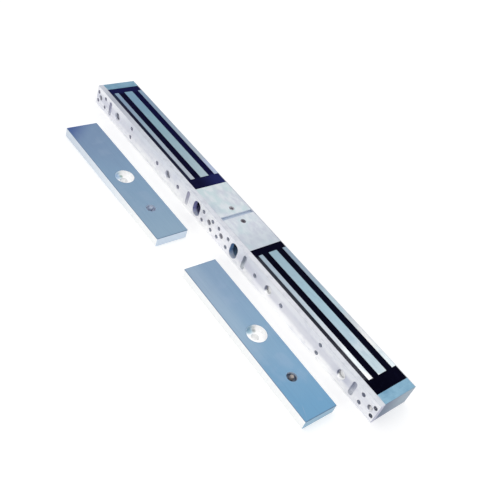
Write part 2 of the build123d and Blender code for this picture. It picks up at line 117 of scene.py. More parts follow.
# ---------------------------------------------------------------- procedural materials
class Graph:
    """The nodes of one material that ends in a Principled shader."""

    def __init__(self, name, metallic, roughness):
        self.material = bpy.data.materials.new(name)
        self.material.use_nodes = True
        self.tree = self.material.node_tree
        self.shader = self.tree.nodes["Principled BSDF"]
        self.shader.inputs["Metallic"].default_value = metallic
        self.shader.inputs["Roughness"].default_value = roughness
        self.place = self.add("ShaderNodeTexCoord").outputs["Object"]

    def put(self, socket, value):
        if isinstance(value, bpy.types.NodeSocket):
            self.tree.links.new(value, socket)
        elif socket.type == "RGBA":
            socket.default_value = (*value[:3], 1.0)
        else:
            socket.default_value = value

    def add(self, kind, inputs=None, **settings):
        node = self.tree.nodes.new(kind)
        for name, value in settings.items():
            setattr(node, name, value)
        for key, value in (inputs or {}).items():
            self.put(node.inputs[key], value)
        return node

    def split(self, vector):
        parts = self.add("ShaderNodeSeparateXYZ", {0: vector}).outputs
        return parts[0], parts[1], parts[2]

    def math(self, operation, a, b=0.0):
        return self.add("ShaderNodeMath", {0: a, 1: b}, operation=operation).outputs[0]

    def off(self, value, centre):
        """How far a value is from a centre."""
        return self.math("ABSOLUTE", self.math("SUBTRACT", value, centre))

    def both(self, a, b):
        return self.math("MULTIPLY", a, b)

    def either(self, a, b):
        return self.math("MAXIMUM", a, b)

    def step(self, value, low, high):
        """0 below low, 1 above high, smooth between; low may be the larger one."""
        limits = {0: value, 1: low, 2: high, 3: 0.0, 4: 1.0}
        return self.add("ShaderNodeMapRange", limits, interpolation_type="SMOOTHSTEP").outputs[0]

    def between(self, value, low, high, soft):
        return self.both(self.step(value, low - soft, low), self.step(value, high + soft, high))

    def mix(self, factor, a, b):
        node = self.add("ShaderNodeMix", data_type="RGBA")
        for key, value in ((0, factor), (6, a), (7, b)):
            self.put(node.inputs[key], value)
        return node.outputs[2]

    def tint(self, colour, mask, strength, other):
        """The colour, drawn towards another one where the mask is 1."""
        return self.mix(self.both(mask, strength), colour, other)

    def range(self, factor, low, high):
        return self.add("ShaderNodeMapRange", {0: factor, 3: low, 4: high}).outputs[0]

    def ramp(self, value, start, end, stops):
        """Colours at shares of the way from start to end."""
        share = self.add("ShaderNodeMapRange", {0: value, 1: start, 2: end}).outputs[0]
        node = self.add("ShaderNodeValToRGB", {0: share})
        bar = node.color_ramp.elements
        while len(bar) < len(stops):
            bar.new(0.5)
        for element, (position, _) in zip(bar, stops):
            element.position = position
        for element, (_, colour) in zip(bar, stops):
            element.color = (*colour, 1.0)
        return node.outputs[0]

    def noise(self, scale, detail=2.0, stretch=(1, 1, 1), grain=0.5, distortion=0.0, place=None):
        """Noise of that many features a metre, drawn out along an axis where stretch is under 1."""
        vector = self.add("ShaderNodeMapping", {0: place or self.place, 3: stretch}).outputs[0]
        inputs = {"Vector": vector, "Scale": scale, "Detail": detail, "Roughness": grain,
                  "Distortion": distortion}
        return self.add("ShaderNodeTexNoise", inputs).outputs[0]

    def scratches(self, angle, scale, place=None):
        """Thin straight scratches at an angle in the XY plane: 1 on a scratch, 0 off it."""
        turned = self.add("ShaderNodeMapping", {0: place or self.place, 2: (0, 0, angle)}).outputs[0]
        drawn = self.noise(scale, 2.0, (0.03, 1, 1), place=turned)
        patches = self.noise(scale / 25, 1.0, place=turned)
        return self.both(self.step(drawn, 0.70, 0.74), self.step(patches, 0.5, 0.62))

    def around(self, place, centre):
        """Distance in the XY plane from a point."""
        x, y, _ = self.split(place)
        dx = self.math("SUBTRACT", x, centre[0])
        dy = self.math("SUBTRACT", y, centre[1])
        return self.math("SQRT", self.math("ADD", self.both(dx, dx), self.both(dy, dy)))

    def disc(self, place, centre, radius):
        """1 inside a circle in the XY plane and 0 outside it, with a hard border."""
        border = 0.00002
        return self.step(self.around(place, centre), radius + border, radius - border)

    def bump(self, height, distance, strength=1.0):
        inputs = {"Height": height, "Distance": distance, "Strength": strength}
        previous = self.shader.inputs["Normal"]
        if previous.links:
            inputs["Normal"] = previous.links[0].from_socket
        self.put(previous, self.add("ShaderNodeBump", inputs).outputs[0])

    def done(self, colour, roughness=None, **constants):
        self.put(self.shader.inputs["Base Color"], colour)
        if roughness is not None:
            self.put(self.shader.inputs["Roughness"], roughness)
        for name, value in constants.items():
            self.shader.inputs[name.replace("_", " ")].default_value = value
        return self.material


def tone(red, green, blue):
    """A linear colour from its value on screen, 0 to 255."""
    shares = (red / 255, green / 255, blue / 255)
    return tuple(((share + 0.055) / 1.055) ** 2.4 if share > 0.04045 else share / 12.92 for share in shares)


def greys(stops):
    return tuple((place, (value, value, value)) for place, value in stops)


WHITE = tone(255, 255, 255)
# The profiles' upper edge, from the far end to the near end, with painted shade towards the far end.
UPPER_EDGE = ((0.0, tone(206, 210, 219)), (0.06, tone(170, 175, 187)), (0.2, tone(201, 205, 214)),
              (0.34, tone(212, 216, 224)), (0.7, tone(209, 210, 216)), (1.0, tone(203, 207, 213)))
# Painted shade on the mounting plate's back above, along and below its line of holes, from end to end:
# the stops, the lowest and highest part of the row, and the tone of the shade.
PAINTED_SHADE_ROWS = (
    (((0.0, 0.3), (0.15, 0.7), (0.33, 0.52), (0.375, 0.34), (0.46, 0.38), (0.52, 0.1), (0.60, 0.8),
      (0.72, 0.3), (1.0, 0.4)), 0.019, 0.024, tone(210, 214, 224)),
    (((0.0, 0.8), (0.2, 0.45), (0.36, 0.32), (0.46, 0.5), (0.52, 0.05), (0.60, 0.8), (0.75, 0.45),
      (0.88, 0.6), (0.92, 0.95), (0.945, 0.42), (1.0, 0.55)), 0.011, 0.015, tone(196, 199, 213)),
    (((0.0, 0.6), (0.2, 0.15), (0.50, 0.0), (0.58, 0.3), (0.68, 0.0), (0.86, 0.0), (0.94, 0.4)),
     0.001, 0.006, tone(222, 224, 232)),
)
# How strongly it is mottled, from end to end.
MOTTLED = ((0.0, 0.30), (0.62, 0.30), (0.66, 0.04), (0.74, 0.04), (0.80, 0.30), (1.0, 0.30))


def near_half(g, x):
    """0 over the far magnet's half of the lock and 1 over the near one's."""
    return g.step(x, -0.01, 0.01)


def within(g, from_middle, place, reach):
    """1 within reach of a place along the lock, the same in both halves."""
    return g.step(g.off(from_middle, place), reach + 0.0002, reach)


def rolled_marks(g):
    """Broad clouds, mottling and fine lines along the lock, as both profiles have them."""
    clouds = g.noise(38, 3.0, (0.55, 1, 1), distortion=0.6)
    mottle = g.noise(210, 4.0, (0.7, 1, 1), grain=0.62)
    streaks = g.noise(1500, 2.0, (0.012, 1, 1))
    return clouds, mottle, streaks


def with_upper_edge(g, x, z, face, mottle):
    """The face's colour, and above it the mottled upper edge that both profiles have."""
    upper = g.ramp(x, -end_x, end_x, UPPER_EDGE)
    upper = g.tint(upper, g.step(mottle, 0.44, 0.66), 0.45, tone(178, 181, 192))
    return g.mix(g.step(z, top_z - PROFILE_EDGE, top_z - 0.0003), face, upper)


def end_face(g, from_middle):
    """1 on the two ends of the lock."""
    return g.step(from_middle, end_x - 0.0004, end_x - 0.0001)


def anodised(g, colour, clouds, streaks):
    """The finished material, with the fine grain of an anodised profile."""
    g.bump(streaks, FINE, 0.6)
    g.bump(g.noise(2600, 2.0), FINE, 0.5)
    return g.done(colour, g.range(clouds, 0.36, 0.52))


def slot_wall(g, x, z, from_middle):
    """An upright slot's wall, painted shade above and painted light in its lower part."""
    upper = g.mix(near_half(g, x), tone(212, 212, 226), tone(184, 190, 200))
    outer_near = g.step(x, 0.200, 0.210)
    upper = g.mix(outer_near, upper, tone(198, 202, 216))
    lower = g.mix(g.step(from_middle, *INNER_TO_OUTER), tone(252, 254, 254), tone(238, 240, 243))
    return g.mix(g.step(z, *SLOT_LIGHT), upper, lower)


def fixing_wall(g, x, z, fixing_x):
    """A fixing hole's wall: brighter to the right in the far half, shaded on the upper left in the near."""
    across_far = g.math("ADD", x, fixing_x)
    far_hole = g.mix(g.step(across_far, -0.0030, 0.0030), tone(182, 185, 196), tone(244, 245, 248))
    across_near = g.math("SUBTRACT", x, fixing_x)
    up = g.math("SUBTRACT", z, top_z / 2)
    left_up = g.math("SUBTRACT", g.both(up, 0.25), across_near)
    near_hole = g.mix(g.step(left_up, 0.0010, 0.0036), tone(252, 253, 253), tone(112, 118, 138))
    return g.mix(near_half(g, x), far_hole, near_hole)


def screw_wall(g, x):
    """The wall of a hole for one of the lock's own screws, painted shade, darker at the near end, where its
    right side has a painted highlight.
    """
    right_side = g.step(x, end_x - 0.0090, end_x - 0.0070)
    near_end = g.mix(right_side, tone(118, 122, 134), tone(226, 227, 231))
    return g.mix(g.step(x, NEAR_END[0], NEAR_END[0] + 0.001), tone(150, 152, 162), near_end)


def opening_walls(g, x, z, from_middle, entry):
    """The walls of the mounting plate's openings, each kind with its own painted light and shade."""
    towards_near_half = g.step(x, -0.10, 0.05)
    walls = g.mix(towards_near_half, tone(206, 206, 218), tone(208, 213, 222))
    # Painted shade, deeper in the openings towards the near end.
    towards_near_end = g.step(x, 0.200, 0.225)
    walls = g.mix(towards_near_end, walls, tone(192, 196, 209))
    slot = slot_wall(g, x, z, from_middle)
    for slot_x in SLOT_XS:
        walls = g.mix(within(g, from_middle, slot_x, SLOT_REACH), walls, slot)
    # Painted shade, deepest in the last holes at the near end.
    walls = g.mix(g.step(x, *NEAR_END), walls, tone(152, 156, 170))
    for fixing_x in FIXING_XS:
        walls = g.mix(within(g, from_middle, fixing_x, FIXING_REACH), walls, fixing_wall(g, x, z, fixing_x))
    beside_line = g.step(g.off(z, top_z / 2), 0.0038, 0.0037)
    for screw_x in SCREW_XS:
        walls = g.tint(walls, within(g, from_middle, screw_x, SCREW_REACH), beside_line, screw_wall(g, x))
    # The cable entries' walls: a painted bluish shade, with painted light in their lower part.
    entry_shade = g.mix(near_half(g, x), tone(158, 160, 212), tone(122, 160, 205))
    return g.mix(entry, walls, g.mix(g.step(z, *ENTRY_LIGHT), entry_shade, tone(216, 224, 238)))


def anodised_plate():
    """The mounting plate: clear anodised bar, its openings paler with painted light and shade, a painted
    bluish shade in the cable entries.
    """
    g = Graph("anodised_plate", 0.7, 0.45)
    x, y, z = g.split(g.place)
    from_middle = g.math("ABSOLUTE", x)
    clouds, mottle, streaks = rolled_marks(g)
    face = g.mix(g.step(clouds, 0.44, 0.72), tone(254, 254, 254), tone(242, 242, 247))
    # Painted shade in rows along the plate's back, above, along and below its holes.
    for stops, low, high, matte_or_shade in PAINTED_SHADE_ROWS:
        face = g.tint(face, g.between(z, low, high, 0.005), g.ramp(x, -end_x, end_x, greys(stops)), matte_or_shade)
    mottling = g.ramp(x, -end_x, end_x, greys(MOTTLED))
    face = g.tint(face, g.step(mottle, 0.46, 0.66), mottling, tone(206, 209, 220))
    colour = with_upper_edge(g, x, z, face, mottle)
    colour = g.tint(colour, g.step(streaks, 0.45, 0.75), 0.2, tone(205, 205, 218))
    lit_strip = g.both(g.between(x, 0.092, 0.126, 0.012), g.step(z, 0.009, 0.005))
    colour = g.tint(colour, lit_strip, 0.8, WHITE)
    colour = g.mix(end_face(g, from_middle), colour, tone(191, 192, 209))
    inside = g.both(g.between(z, PROFILE_EDGE, top_z - PROFILE_EDGE, 0.0001),
                    g.step(y, back_y + 0.0002, back_y + PROFILE_EDGE))
    inside = g.both(inside, g.step(from_middle, end_x - 0.0001, end_x - 0.0003))
    entry = within(g, from_middle, cable_x, ENTRY_REACH)
    colour = g.mix(inside, colour, opening_walls(g, x, z, from_middle, entry))
    bright_strip = g.both(g.between(x, 0.080, 0.190, 0.015), g.step(z, 0.010, 0.006))
    outside_metal = g.range(bright_strip, 0.7, 1.0)
    g.put(g.shader.inputs["Metallic"], g.range(inside, outside_metal, g.range(entry, 0.5, 0.0)))
    return anodised(g, colour, clouds, streaks)


def anodised_housing():
    """The folded housing: pale outside, a painted bluish shade inside, painted light and shade on its back
    behind the plate's openings.
    """
    g = Graph("anodised_housing", 0.5, 0.45)
    x, y, z = g.split(g.place)
    from_middle = g.math("ABSOLUTE", x)
    clouds, mottle, streaks = rolled_marks(g)
    face = g.mix(g.step(clouds, 0.36, 0.76), tone(242, 242, 248), tone(222, 223, 233))
    face = g.tint(face, g.step(mottle, 0.46, 0.66), 0.25, tone(200, 203, 215))
    inside = g.both(g.between(y, seam_y + 0.0012, -seam_y, 0.0001), g.step(z, top_z - 0.0010, top_z - 0.0012))
    inside = g.both(inside, g.step(z, 0.0012, 0.0016))
    # Inside the housing, a painted bluish shade: lilac in the far half, teal in the near one.
    face = g.mix(inside, face, g.mix(near_half(g, x), tone(196, 192, 246), tone(176, 214, 250)))
    colour = with_upper_edge(g, x, z, face, mottle)
    colour = g.tint(colour, g.step(streaks, 0.45, 0.75), 0.25, tone(200, 200, 214))
    # The end face darker towards the mounting plate: painted shade.
    sawn_and_shaded = g.mix(g.step(y, -0.015, 0.024), tone(166, 170, 188), tone(204, 208, 219))
    colour = g.mix(end_face(g, from_middle), colour, sawn_and_shaded)

    entry = within(g, from_middle, cable_x, ENTRY_REACH)
    entry = g.both(entry, g.between(y, seam_y - 0.0001, seam_y + 0.0011, 0.0001))
    entry = g.both(entry, g.between(z, 0.0030, top_z - 0.0012, 0.0002))
    # The cable entry's walls: a painted bluish shade, with painted light in their lower part.
    entry_shade = g.mix(near_half(g, x), tone(132, 130, 186), tone(92, 132, 182))
    colour = g.mix(entry, colour, g.mix(g.step(z, *ENTRY_LIGHT), entry_shade, tone(196, 206, 224)))

    seam = g.step(y, seam_y + 0.00015, seam_y + 0.00005)
    inner_slot = g.both(g.step(x, 0.0, 0.02), g.step(x, 0.060, 0.055))
    near_slots = g.either(inner_slot, g.step(x, 0.208, 0.212))
    # The back seen through the slots: painted shade, with painted light in its lower part.
    behind_slot = g.mix(g.step(x, *INNER_TO_OUTER), tone(206, 210, 220), tone(184, 188, 202))
    behind_slot = g.mix(g.step(z, *SLOT_LIGHT), behind_slot, tone(242, 244, 248))
    colour = g.mix(g.both(seam, near_slots), colour, behind_slot)
    # Behind the fixing holes the back is painted light: white in the near half, a little greyer in the far
    # one.
    inner, outer = (within(g, from_middle, fixing_x, FIXING_REACH) for fixing_x in FIXING_XS)
    behind_hole = g.both(seam, g.either(inner, outer))
    colour = g.mix(behind_hole, colour, g.mix(near_half(g, x), tone(226, 228, 236), WHITE))
    matte_or_shade = g.either(inside, g.either(entry, behind_hole))
    g.put(g.shader.inputs["Metallic"], g.range(matte_or_shade, 0.5, 0.0))
    return anodised(g, colour, clouds, streaks)


def block_aluminium(name, light, dark, end_light, end_dark, pale):
    """Milled bar: fine cutter lines across the lock, paler by the mounting plate, a duller saw-cut end with
    painted shade towards the mounting plate.
    """
    g = Graph(name, 0.75, 0.42)
    x, y, _ = g.split(g.place)
    from_middle = g.math("ABSOLUTE", x)
    clouds = g.noise(70, 3.0)
    cutter = g.noise(1400, 2.0, (1, 0.03, 0.03))
    spots = g.noise(420, 2.0)
    colour = g.mix(g.step(clouds, 0.35, 0.68), light, dark)
    colour = g.tint(colour, g.step(spots, 0.52, 0.70), 0.35, dark)
    colour = g.tint(colour, g.step(cutter, 0.5, 0.72), 0.3, dark)
    beside_plate = g.both(g.step(y, -0.0155, -0.0200), g.step(from_middle, end_x - 0.003, end_x - 0.009))
    colour = g.tint(colour, beside_plate, 0.75, pale)
    # Painted shade on the end, darker towards the mounting plate.
    sawn_and_shaded = g.mix(g.step(y, -0.017, 0.012), end_dark, end_light)
    colour = g.mix(end_face(g, from_middle), colour, sawn_and_shaded)
    g.bump(cutter, 0.00003, 0.5)
    return g.done(colour, g.range(cutter, 0.36, 0.52))


def brushed_cover(side, warm, shade):
    """Brushed sheet: fine strokes along the lock, faint teal and lilac mottling, painted shade over the near
    cover's middle, a darker patch on the far one, and duller cut ends painted pale as painted light.
    """
    teal = tone(192, 209, 213)
    lilac = tone(196, 200, 211)
    bright = tone(211, 217, 222)
    low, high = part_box(f"{side}_cover")
    g = Graph(f"{side}_brushed_cover", 0.7, 0.40)
    x, y, _ = g.split(g.place)
    mottle = g.noise(160, 4.0, (0.6, 1, 1), grain=0.6)
    clouds = g.noise(38, 2.0)
    strokes = g.noise(1700, 3.0, (0.02, 1, 1), grain=0.65)
    colour = g.mix(g.step(clouds, 0.38 + warm, 0.62 + warm), lilac, teal)
    colour = g.mix(g.step(mottle, 0.38, 0.66), colour, bright)
    # Painted shade over the cover, short of its ends.
    colour = g.tint(colour, g.step(x, low.x + 0.008, high.x - 0.006), shade, tone(148, 159, 172))
    if side == "far":
        # A darker bluish patch on the far cover, by the groove and the mounting plate.
        darker_patch = g.both(g.between(x, -0.021, -0.011, 0.006), g.step(y, -0.008, -0.012))
        colour = g.tint(colour, darker_patch, 0.3, tone(150, 176, 190))
    colour = g.tint(colour, g.step(strokes, 0.48, 0.72), 0.30, lilac)
    # The cut ends painted pale and less metallic: painted light against the shade beside them.
    low_end = g.step(x, low.x + 0.0002, low.x + 0.0001)
    high_end = g.step(x, high.x - 0.0002, high.x - 0.0001)
    cut_end = g.either(low_end, high_end)
    colour = g.mix(cut_end, colour, tone(222, 230, 242))
    g.put(g.shader.inputs["Metallic"], g.range(cut_end, 0.7, 0.2))
    g.bump(strokes, FINE, 0.6)
    return g.done(colour, g.range(strokes, 0.32, 0.50))


def core_steel(side, middle, sides):
    """Ground laminations: sheet lines across the poles, grinding marks along them, under a painted reflection
    that brightens towards the near end.
    """
    low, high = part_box(f"{side}_core")
    centre_y = float(mounts[f"{side}_magnet_face"]["pos_m"][1])
    g = Graph(f"{side}_core_steel", 0.8, 0.36)
    x, y, _ = g.split(g.place)
    off_centre = g.off(y, centre_y)
    front_leg = g.step(y, centre_y + MIDDLE_LEG[1], centre_y + MIDDLE_LEG[1] + 0.0015)
    clouds = g.noise(60, 3.0, (0.5, 1, 1))
    patches = g.noise(26, 2.0, (0.6, 1, 1))
    drift = g.math("ADD", x, g.both(g.math("SUBTRACT", clouds, 0.5), 0.05))
    # The ramps along the core paint a reflection, lighter towards the near end.
    colour = g.mix(g.step(off_centre, *MIDDLE_LEG),
                   g.ramp(drift, low.x, high.x, middle), g.ramp(drift, low.x, high.x, sides))
    colour = g.tint(colour, g.step(patches, 0.50, 0.68), 0.30, tone(128, 168, 180))
    if side == "near":
        # A painted highlight on the near core's middle leg at its end.
        tip = g.step(g.math("ADD", x, g.both(y, -0.5)), high.x - 0.002, high.x + 0.001)
        on_middle_leg = g.step(off_centre, *reversed(MIDDLE_LEG))
        colour = g.tint(colour, tip, on_middle_leg, tone(250, 252, 252))
        blue_leg = g.both(front_leg, g.step(x, 0.130, 0.112))
        colour = g.tint(colour, blue_leg, 0.55, tone(116, 138, 156))
        warm_leg = g.both(front_leg, g.between(x, 0.158, 0.198, 0.008))
        colour = g.tint(colour, warm_leg, 0.2, tone(190, 170, 160))
    else:
        blue_end = g.both(front_leg, g.step(x, -0.096, -0.086))
        colour = g.tint(colour, blue_end, 0.3, tone(165, 184, 235))
    grinding = g.noise(1600, 2.0, (0.02, 1, 1))
    colour = g.tint(colour, g.step(grinding, 0.5, 0.75), 0.24, tone(120, 150, 165))
    mottle = g.noise(260, 4.0, (0.5, 1, 1), grain=0.65)
    colour = g.tint(colour, g.step(mottle, 0.48, 0.68), 0.22, tone(112, 136, 156))
    sheets = g.add("ShaderNodeTexWave", {"Vector": g.place, "Scale": 1000, "Distortion": 0.0},
                   bands_direction="X").outputs["Fac"]
    g.bump(sheets, 0.00001, 0.25)
    g.bump(grinding, FINE, 0.5)
    return g.done(colour, g.range(grinding, 0.30, 0.46))


def armature_steel(side, face, end, cup_side, shaded, cup_shadow, cup_shadow_spots, pocket_floor, pocket_wall):
    """Zinc plated steel: a blue ground face, painted shade along its edge, pale sides, and bright turned
    holes with painted light and shade.
    """
    bolt = Vector(mounts[f"{side}_armature_bolt_hole"]["pos_m"])
    guide = Vector(mounts[f"{side}_armature_guide_hole_high_x"]["pos_m"])
    turn = math.atan2(guide.y - bolt.y, guide.x - bolt.x)
    g = Graph(f"{side}_armature_steel", 0.7, 0.44)
    # From here on, places are measured from the bolt, along and across the plate.
    place = g.add("ShaderNodeMapping", {0: g.place, 1: (bolt.x, bolt.y, 0), 2: (0, 0, turn)},
                  vector_type="TEXTURE").outputs[0]
    x, y, z = g.split(place)
    clouds = g.noise(24, 3.0, (0.6, 1, 1), place=place)
    grinding = g.noise(1500, 2.0, (0.02, 1, 1), place=place)
    drift = g.math("ADD", x, g.both(g.math("SUBTRACT", clouds, 0.5), 0.12))
    colour = g.ramp(drift, -ARMATURE_HALF, ARMATURE_HALF, face)
    if side == "near":
        front = g.both(g.step(y, 0.004, -0.015), g.step(x, 0.045, 0.0))
        colour = g.tint(colour, front, 0.35, tone(170, 186, 200))
    patches = g.noise(60, 3.0, place=place)
    colour = g.tint(colour, g.step(patches, 0.50, 0.70), 0.22, tone(150, 168, 192))
    colour = g.tint(colour, g.step(grinding, 0.45, 0.75), 0.16, tone(96, 124, 158))
    if side == "far":
        corner = g.step(g.math("ADD", x, y), -ARMATURE_HALF + 0.020, -ARMATURE_HALF - 0.018)
        colour = g.mix(corner, colour, tone(64, 90, 148))
    colour = g.mix(g.scratches(0.35, 900, place), colour, tone(140, 162, 186))
    # Painted shade: a dark line along the broken top edge.
    edge_line = g.step(z, armature_top - 0.00005, armature_top - 0.00020)
    colour = g.mix(edge_line, colour, tone(98, 122, 150))

    flank = tone(244, 245, 245)
    if side == "far":
        flank = g.ramp(x, -ARMATURE_HALF, ARMATURE_HALF,
                       ((0.0, tone(204, 213, 224)), (0.5, tone(224, 231, 238)), (0.8, tone(244, 245, 245))))
    sawn_and_shaded = g.noise(1300, 3.0, (1, 1, 0.04), place=place)
    flank = g.tint(flank, g.step(sawn_and_shaded, 0.5, 0.72), 0.35, tone(222, 227, 234))
    flank = g.mix(g.step(x, ARMATURE_HALF - 0.0006, ARMATURE_HALF - 0.0002), flank, end)
    below_edge = g.step(z, armature_top - 0.00050, armature_top - 0.00070)
    colour = g.mix(below_edge, colour, flank)

    from_bolt = g.around(place, (0, 0))
    recess = g.disc(place, (0, 0), CUP_RADIUS)
    # Painted shade in the cup: the side tone round the shaded place, small darker shadows at the spots; the
    # white elsewhere is partly painted light.
    cup = g.mix(g.step(g.around(place, shaded), 0.0066, 0.0016), WHITE, cup_side)
    for spot in cup_shadow_spots:
        cup = g.tint(cup, g.step(g.around(place, spot), 0.0026, 0.0006), 0.5, cup_shadow)
    # A thin darker ring round the cup's rim.
    rim_ring = g.step(from_bolt, CUP_RADIUS + 0.0009, CUP_RADIUS + 0.0001)
    colour = g.tint(colour, rim_ring, 0.45, tone(96, 122, 150))
    colour = g.mix(recess, colour, cup)
    turning = 9000.0                                # radians a metre: a ring every 0.7 mm
    rings = g.math("SINE", g.both(g.math("ADD", from_bolt, z), turning))
    g.bump(g.both(rings, recess), FINE, 0.5)

    pin_x = (sum(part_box(f"{side}_kick_off_pin"), Vector()) / 2 - bolt).xy.length
    below_face = g.step(z, armature_top - 0.00002, armature_top - 0.0003)
    # The pin's pocket, darker towards its floor: painted shade, deep in the near plate and faint in the far
    # one.
    pocket = g.both(g.disc(place, (pin_x, 0), POCKET_RADIUS), below_face)
    upper_wall = g.step(z, armature_top - 0.0029, armature_top - 0.0020)
    colour = g.mix(pocket, colour, g.mix(upper_wall, pocket_floor, pocket_wall))
    g.bump(grinding, FINE, 0.5)
    g.put(g.shader.inputs["Metallic"], g.range(pocket, 0.7, 0.0))
    return g.done(colour, g.range(clouds, 0.36, 0.50))


def cast_resin(side, back, front, plain_end, lead_end, lead_end_front, dust, strip):
    """Poured potting resin: nearly black, bluer in the thick bars at the ends, with a few pinholes."""
    low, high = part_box(f"{side}_core")
    middle_x = (low.x + high.x) / 2
    half = (high.x - low.x) / 2
    g = Graph(f"{side}_cast_resin", 0.0, 0.34)
    x, y, _ = g.split(g.place)
    flow = g.noise(90, 2.0)
    bars = g.step(g.off(x, middle_x), half - 0.004, half + 0.002)
    bar = g.mix(g.step(y, -0.010, 0.020), lead_end, lead_end_front)
    bar = g.mix(g.step(x, middle_x - 0.01, middle_x + 0.01), plain_end, bar)
    colour = g.mix(g.step(y, 0.0, 0.012), back, front)
    behind_core = g.both(g.step(y, low.y, low.y - 0.0004), g.math("SUBTRACT", 1.0, bars))
    colour = g.mix(behind_core, colour, g.ramp(x, low.x, high.x, strip))
    colour = g.mix(bars, colour, bar)
    colour = g.tint(colour, g.step(g.noise(230, 5.0, grain=0.7), 0.48, 0.70), 0.5, dust)
    pores = g.add("ShaderNodeTexVoronoi", {"Vector": g.place, "Scale": 160}).outputs["Distance"]
    g.bump(flow, 0.0004, 0.3)
    g.bump(g.step(pores, 0.035, 0.060), 0.0001, 0.5)
    return g.done(colour, g.range(flow, 0.26, 0.42), Specular_IOR_Level=0.005)


def turned_metal(name, colour, worn, metallic=1.0, roughness=0.3, parted=None):
    """Small turned parts: a fine grain and a little wear; parted is an x and the colour on its far side."""
    g = Graph(name, metallic, roughness)
    wear = g.noise(900, 3.0)
    if parted:
        border, other = parted
        x, _, _ = g.split(g.place)
        colour = g.mix(g.step(x, border, border + 0.001), other, colour)
    g.bump(g.noise(5000, 1.0), 0.00001, 0.5)
    colour = g.mix(g.step(wear, 0.45, 0.7), colour, worn)
    return g.done(colour, g.range(wear, roughness - 0.08, roughness + 0.12))


def fixing_screw_steel():
    """Nickel plated screws; their tips in the mounting plate's back darkened by painted shade, the near end
    one with a painted highlight on its right.
    """
    g = Graph("fixing_screw", 1.0, 0.3)
    x, y, _ = g.split(g.place)
    wear = g.noise(900, 3.0)
    right_side = g.step(x, end_x - 0.0100, end_x - 0.0075)
    tip = g.mix(right_side, tone(112, 112, 120), tone(206, 205, 206))
    shank = g.mix(g.step(wear, 0.45, 0.7), tone(196, 196, 204), tone(158, 158, 168))
    in_plate = g.step(y, back_y + 0.003, back_y + 0.004)
    g.bump(g.noise(5000, 1.0), 0.00001, 0.5)
    return g.done(g.mix(in_plate, tip, shank), g.range(wear, 0.22, 0.42))


def moulded_plastic(name, colour, shade, roughness=0.45):
    """Moulded plastic with a fine spark-eroded grain."""
    g = Graph(name, 0.0, roughness)
    clouds = g.noise(200, 2.0)
    skin = g.noise(2500, 2.0)
    g.bump(skin, FINE, 0.6)
    return g.done(g.mix(clouds, colour, shade), g.range(skin, roughness - 0.08, roughness + 0.08))


def board_laminate():
    """Green solder mask over faint copper tracks."""
    g = Graph("board_laminate", 0.0, 0.35)
    tracks = g.add("ShaderNodeTexBrick",
                   {"Vector": g.place, "Scale": 260, "Mortar Size": 0.03}).outputs["Fac"]
    weave = g.noise(1800, 2.0)
    colour = g.mix(g.both(tracks, 0.6), (0.020, 0.110, 0.055), (0.060, 0.240, 0.120))
    g.bump(tracks, 0.00003, 0.6)
    return g.done(colour, g.range(weave, 0.28, 0.42))


def wound_copper():
    """Enamelled wire laid in turns, one every 0.38 mm up the bobbin."""
    g = Graph("wound_copper", 0.9, 0.35)
    turns = g.add("ShaderNodeTexWave", {"Vector": g.place, "Scale": 830}, bands_direction="Z").outputs["Fac"]
    tint = g.noise(300, 2.0)
    g.bump(turns, 0.0002, 0.8)
    return g.done(g.mix(tint, (0.50, 0.20, 0.07), (0.72, 0.33, 0.13)), g.range(tint, 0.28, 0.42))


# ---------------------------------------------------------------- tones of each side's own pieces
# Stops run from the far end of the piece to its near end.
# The cores' tones carry a painted reflection: bluer at the far core, lighter along each towards the near end,
# near white at the near core's end.
CORE_TONES = {
    "far": {
        "middle": ((0.0, tone(117, 152, 177)), (0.26, tone(118, 153, 174)), (0.5, tone(138, 166, 179)),
                   (1.0, tone(166, 184, 194))),
        "sides": ((0.0, tone(128, 152, 178)), (0.10, tone(125, 149, 174)), (0.28, tone(134, 153, 175)),
                  (0.5, tone(151, 167, 183)), (1.0, tone(174, 182, 193))),
    },
    "near": {
        "middle": ((0.0, tone(137, 163, 175)), (0.72, tone(159, 179, 191)), (0.79, tone(187, 198, 205)),
                   (1.0, tone(193, 202, 207))),
        "sides": ((0.0, tone(148, 163, 176)), (0.5, tone(172, 185, 194)), (0.66, tone(190, 196, 203)),
                  (0.79, tone(233, 235, 236))),
    },
}
# Back and front are those of the bays beside the core; strip is the resin behind it.
RESIN_TONES = {
    "far": {
        "back": tone(10, 9, 38),
        "front": tone(13, 13, 54),
        "plain_end": tone(22, 25, 70),
        "lead_end": tone(16, 17, 48),
        "lead_end_front": tone(35, 40, 92),
        "dust": tone(26, 26, 66),
        "strip": ((0.0, tone(41, 54, 78)), (0.15, tone(38, 41, 62)), (0.3, tone(33, 36, 56)),
                  (0.85, tone(35, 38, 57)), (1.0, tone(40, 43, 66))),
    },
    "near": {
        "back": tone(5, 5, 22),
        "front": tone(7, 8, 27),
        "plain_end": tone(6, 6, 27),
        "lead_end": tone(3, 3, 18),
        "lead_end_front": tone(6, 6, 24),
        "dust": tone(14, 15, 36),
        "strip": ((0.0, tone(56, 59, 70)), (0.5, tone(54, 56, 65)), (0.66, tone(46, 48, 59)),
                  (0.80, tone(68, 68, 77)), (1.0, tone(60, 62, 71))),
    },
}
